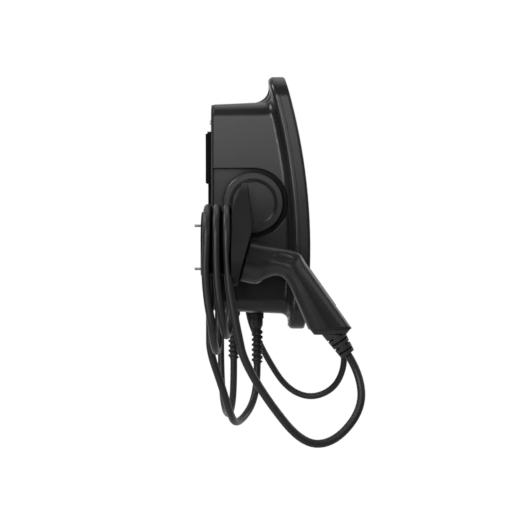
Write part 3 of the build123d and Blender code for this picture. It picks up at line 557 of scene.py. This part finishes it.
def smooth_handle(name, middle, bend_steps=12, arm_steps=24):
    """Handle from its collar over the bend to the slanting end, with a hollow for the thumb on each side."""
    # place (y, z), tilt, height, half widths at the top and the ridge, the ridge's height,
    # half width at the bottom, and how far each corner is rounded
    stations = [
        ((-0.0745, -0.1832), 15.5, 0.0720, 0.0205, 0.0410, 0.000, 0.0205, 0.46),
        ((-0.0997, -0.1885), 10.0, 0.0700, 0.0175, 0.0350, 0.000, 0.0175, 0.46),
        ((-0.1180, -0.1857), 13.9, 0.0577, 0.0135, 0.0300, 0.000, 0.0140, 0.46),
        ((-0.1380, -0.1855), 24.0, 0.0505, 0.0125, 0.0285, -0.002, 0.0140, 0.46),
        ((-0.1558, -0.1922), 32.0, 0.0508, 0.0125, 0.0285, -0.005, 0.0140, 0.46),
        ((-0.1670, -0.2089), 35.0, 0.0499, 0.0125, 0.0285, -0.006, 0.0145, 0.46),
        ((-0.2225, -0.3007), 89.0, 0.0760, 0.0145, 0.0310, -0.010, 0.0190, 0.40),
    ]
    rings = [handle_ring(*station) for station in stations]
    around = len(rings[0])
    arm_start, arm_end = rings[-2:]
    share = (arm_start[0] - rings[-3][0]).length / (arm_end[0] - arm_start[0]).length
    ahead = [a.lerp(b, share) for a, b in zip(arm_start, arm_end)]
    lead_in = [a * 2 - b for a, b in zip(rings[0], rings[1])]
    course = [lead_in] + rings[:-1] + [ahead]
    rows = []
    for before, first, second, after in zip(course, course[1:], course[2:], course[3:]):
        for step in range(bend_steps):
            t = step / bend_steps
            rows.append([
                0.5 * (2 * b + (c - a) * t + (2 * a - 5 * b + 4 * c - d) * t**2
                       + (3 * b - a - 3 * c + d) * t**3)
                for a, b, c, d in zip(before, first, second, after)
            ])
    for step in range(arm_steps + 1):
        rows.append([a.lerp(b, step / arm_steps) for a, b in zip(arm_start, arm_end)])
    points = [(middle + x * thumb_hollow(y, z), y, z) for row in rows for x, y, z in row]
    faces = []
    for row in range(len(rows) - 1):
        for column in range(around):
            a, b = row * around + column, row * around + (column + 1) % around
            faces.append((a, b, b + around, a + around))
    faces.append(tuple(reversed(range(around))))
    faces.append(tuple(range((len(rows) - 1) * around, len(rows) * around)))
    return add_piece(name, points, faces, handle)


holder_x = 0.270
for side, middle in (("left", -holder_x), ("right", holder_x)):
    grip = smooth_handle("handle_skin_" + side, middle)
    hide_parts("connector_grip_" + side)
silver = plated("silver_plate", colour=(0.80, 0.78, 0.74), stain=(0.62, 0.58, 0.52), roughness=0.25)
dress(silver, *left_right("connector_contacts"))
boot_rubber = moulded(
    "boot_rubber", deep=(0.008, 0.008, 0.008), pale=(0.020, 0.020, 0.020),
    grain_size=0.0008, gloss=(0.46, 0.58), relief=0.2, dust_amount=0.2,
)
dress(boot_rubber, *left_right("connector_boot"))

# Charging cables: round, rubber sheathed, 14 mm thick, with a fine matt grain.
# Each leaves its gland, hangs in a loop, winds over its holder and runs on to its connector.
jacket = moulded(
    "cable_rubber", deep=(0.006, 0.006, 0.006), pale=(0.016, 0.016, 0.016),
    grain_size=0.0010, gloss=(0.34, 0.44), relief=0.18, dust_amount=0.15,
)
cable_d = 0.014
feed_left = [
    (-0.035, -0.092, -0.391), (-0.035, -0.092, -0.428), (-0.053, -0.084, -0.467),
    (-0.0895, -0.067, -0.489), (-0.137, -0.052, -0.4915), (-0.182, -0.044, -0.462),
    (-0.208, -0.030, -0.408), (-0.2155, -0.010, -0.348), (-0.2155, -0.010, -0.312),
]
feed_right = [
    (0.035, -0.044, -0.391), (0.035, -0.044, -0.434), (0.052, -0.041, -0.482),
    (0.092, -0.033, -0.514), (0.145, -0.022, -0.515), (0.190, -0.014, -0.484),
    (0.211, -0.0105, -0.425), (0.2155, -0.010, -0.362), (0.2155, -0.010, -0.312),
]
lead_left = [
    (-0.3245, -0.0654, -0.312), (-0.3245, -0.0734, -0.3492), (-0.3255, -0.112, -0.416),
    (-0.3245, -0.174, -0.494), (-0.3145, -0.229, -0.493), (-0.2945, -0.278, -0.438),
    (-0.270, -0.2747, -0.3785), (-0.270, -0.253, -0.3449),
]
lead_right = [
    (0.3245, -0.0654, -0.312), (0.3245, -0.0742, -0.3531), (0.3255, -0.108, -0.424),
    (0.3245, -0.152, -0.492), (0.3165, -0.206, -0.514), (0.3005, -0.258, -0.490),
    (0.2835, -0.281, -0.437), (0.270, -0.2747, -0.3785), (0.270, -0.253, -0.3449),
]


def turns(side, steps=8):
    """Three passes over the hub, with two hanging bends that differ in size between them."""
    reach = 0.0551
    hub_top_z = -0.145
    rise_z = -0.215
    rise_lean = 0.002
    exit_reach = 0.0545
    exit_run = ((-0.0454, -0.170), (-0.0486, -0.225), (-0.0573, -0.272))
    # y at the start and end of each pass over the hub
    passes = ((-0.010, -0.0108), (-0.026, -0.0268), (-0.0435, -0.0445))
    # (y, z) of the run down to each bend, the bend's height, and y at its start, middle and end
    bends = (
        (((-0.0080, -0.200), (-0.0122, -0.250)), -0.286, (-0.0190, -0.0255, -0.0258)),
        (((-0.0275, -0.200), (-0.0312, -0.242)), -0.259, (-0.0345, -0.0430, -0.0475)),
    )
    points = []

    def pass_over(start_y, end_y):
        for step in range(steps + 1):
            angle = math.pi * step / steps
            y = start_y + (end_y - start_y) * step / steps
            points.append((holder_x - reach * math.cos(angle), y, hub_top_z + reach * math.sin(angle)))

    def hang(run, bend_z, first, deep, last, next_y):
        points.extend((holder_x + reach, y, z) for y, z in run)
        for step in range(steps + 1):
            angle = math.pi * step / steps
            y = first + (last - first) * step / steps + (deep - (first + last) / 2) * math.sin(angle)
            points.append((holder_x + reach * math.cos(angle), y, bend_z - reach * math.sin(angle)))
        points.append((holder_x - reach, next_y - rise_lean, rise_z))

    for (start_y, end_y), (run, bend_z, bend_y), (next_y, _) in zip(passes, bends, passes[1:]):
        pass_over(start_y, end_y)
        hang(run, bend_z, *bend_y, next_y)
    pass_over(*passes[-1])
    points.extend((holder_x + exit_reach, y, z) for y, z in exit_run)
    return [(side * x, y, z) for x, y, z in points]


def lay_cable(name, side, feed_points, lead_points):
    """One cable on one smooth line from its gland to its boot."""
    points = feed_points + turns(side) + lead_points
    curve = bpy.data.curves.new("charging_cable_" + name, "CURVE")
    curve.dimensions = "3D"
    line = curve.splines.new("NURBS")
    line.points.add(len(points) - 1)
    for point, place in zip(line.points, points):
        point.co = (*place, 1)
    line.order_u = 3
    line.use_endpoint_u = True
    line.resolution_u = 8
    curve.bevel_depth = cable_d / 2
    curve.bevel_resolution = 5
    curve.use_fill_caps = True
    curve.materials.append(jacket)
    piece = bpy.data.objects.new("charging_cable_" + name, curve)
    bpy.context.scene.collection.objects.link(piece)
    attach(piece, "root")
    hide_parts("cable_feed_" + name, "cable_coil_" + name, "cable_lead_" + name)


lay_cable("left", -1, feed_left, lead_left)
lay_cable("right", 1, feed_right, lead_right)

# Studio: a pale floor well below the wallbox and a white surround.
# A wide softbox and a strip stand at its left, with softer lamps above, behind and in front.
# The camera stands at the left side of the wallbox and looks along its width.
bpy.ops.mesh.primitive_circle_add(vertices=96, radius=6.0, fill_type="NGON", location=(0, -0.1, -1.25))
floor = bpy.context.object
floor.name = "studio_floor"
pale, tree, shader = new_finish("pale_floor")
place = tree.nodes.new("ShaderNodeTexCoord").outputs["Object"]
floor_colour = mixed(tree, noise(tree, place, 3.0), (0.78, 0.78, 0.77), (0.84, 0.84, 0.83))
tree.links.new(floor_colour, shader.inputs["Base Color"])
shader.inputs["Roughness"].default_value = 0.8


def shown_white(tree, along):
    """Mask for the white surround: whole for the camera, and for reflections on the backdrop's side."""
    rays = tree.nodes.new("ShaderNodeLightPath")
    parts = tree.nodes.new("ShaderNodeSeparateXYZ")
    tree.links.new(along, parts.inputs[0])
    behind = tree.nodes.new("ShaderNodeMapRange")
    behind.interpolation_type = "SMOOTHSTEP"
    tree.links.new(parts.outputs["X"], behind.inputs["Value"])
    behind.inputs["From Min"].default_value = 0.2
    behind.inputs["From Max"].default_value = 0.9
    behind.inputs["To Min"].default_value = 0.05
    mirrored = math_node(tree, "MAXIMUM", rays.outputs["Is Glossy Ray"], rays.outputs["Is Transmission Ray"])
    reflected = math_node(tree, "MULTIPLY", mirrored, behind.outputs["Result"])
    return math_node(tree, "MAXIMUM", rays.outputs["Is Camera Ray"], reflected)


away = tree.nodes.new("ShaderNodeVectorMath")
away.operation = "LENGTH"
tree.links.new(place, away.inputs[0])
fade = tree.nodes.new("ShaderNodeMapRange")
fade.interpolation_type = "SMOOTHSTEP"
fade.inputs["From Min"].default_value = 0.5
fade.inputs["From Max"].default_value = 1.6
tree.links.new(away.outputs["Value"], fade.inputs["Value"])
white = tree.nodes.new("ShaderNodeEmission")
white.inputs["Color"].default_value = (1, 1, 1, 1)
blend = tree.nodes.new("ShaderNodeMixShader")
backdrop = math_node(tree, "MULTIPLY", shown_white(tree, place), fade.outputs["Result"])
tree.links.new(backdrop, blend.inputs[0])
tree.links.new(shader.outputs[0], blend.inputs[1])
tree.links.new(white.outputs[0], blend.inputs[2])
tree.links.new(blend.outputs[0], tree.nodes["Material Output"].inputs["Surface"])
floor.data.materials.append(pale)

world = bpy.data.worlds.new("studio_surround")
bpy.context.scene.world = world
world.use_nodes = True
tree = world.node_tree
soft = tree.nodes["Background"]
soft.inputs["Color"].default_value = (1, 1, 1, 1)
soft.inputs["Strength"].default_value = 0.17
plain = tree.nodes.new("ShaderNodeBackground")
plain.inputs["Color"].default_value = (1, 1, 1, 1)
blend = tree.nodes.new("ShaderNodeMixShader")
heading = tree.nodes.new("ShaderNodeTexCoord").outputs["Generated"]
tree.links.new(shown_white(tree, heading), blend.inputs[0])
tree.links.new(soft.outputs[0], blend.inputs[1])
tree.links.new(plain.outputs[0], blend.inputs[2])
tree.links.new(blend.outputs[0], tree.nodes["World Output"].inputs["Surface"])


def turn_to(thing, direction):
    """Turns a lamp or camera to look in a direction."""
    thing.rotation_mode = "QUATERNION"
    thing.rotation_quaternion = direction.to_track_quat("-Z", "Y")


def soft_lamp(name, place, aim, size, power):
    """A rectangular softbox that points at a place."""
    lamp = bpy.data.lights.new(name, "AREA")
    lamp.shape = "RECTANGLE"
    lamp.size, lamp.size_y = size
    lamp.energy = power
    stand = bpy.data.objects.new(name, lamp)
    bpy.context.scene.collection.objects.link(stand)
    stand.location = place
    turn_to(stand, Vector(aim) - Vector(place))


soft_lamp("side_bank", (-2.316, 0.475, 0.545), aim=(-0.17, -0.10, -0.03), size=(2.0, 1.02), power=31)
soft_lamp("key_strip", (-1.99, 1.06, 0.13), aim=(-0.17, -0.08, -0.06), size=(0.5, 1.35), power=25)
soft_lamp("rear_top", (-0.35, 1.6, 1.45), aim=(-0.17, -0.1, -0.05), size=(0.9, 0.8), power=30)
soft_lamp("overhead", (0.2, -0.2, 1.9), aim=(0, -0.1, 0.0), size=(1.4, 1.4), power=11)
soft_lamp("front_left", (-1.1, -1.75, 0.85), aim=(-0.1, -0.15, -0.15), size=(0.8, 0.8), power=6)
soft_lamp("front_right", (1.1, -2.2, 0.6), aim=(0.0, -0.19, -0.1), size=(1.2, 1.2), power=14)

picture_px = 515
focal_px = 1190
yaw = math.atan(18.5 / focal_px)
pitch = math.atan(41.5 / focal_px)
camera = bpy.data.cameras.new("camera")
camera.sensor_width = 36.0
camera.lens = camera.sensor_width * focal_px / picture_px
eye = bpy.data.objects.new("camera", camera)
bpy.context.scene.collection.objects.link(eye)
eye.location = (-2.339, -0.1284, -0.105)
turn_to(eye, Vector((math.cos(pitch) * math.cos(yaw), math.cos(pitch) * math.sin(yaw), -math.sin(pitch))))
bpy.context.scene.camera = eye
bpy.context.scene.view_settings.view_transform = "Standard"
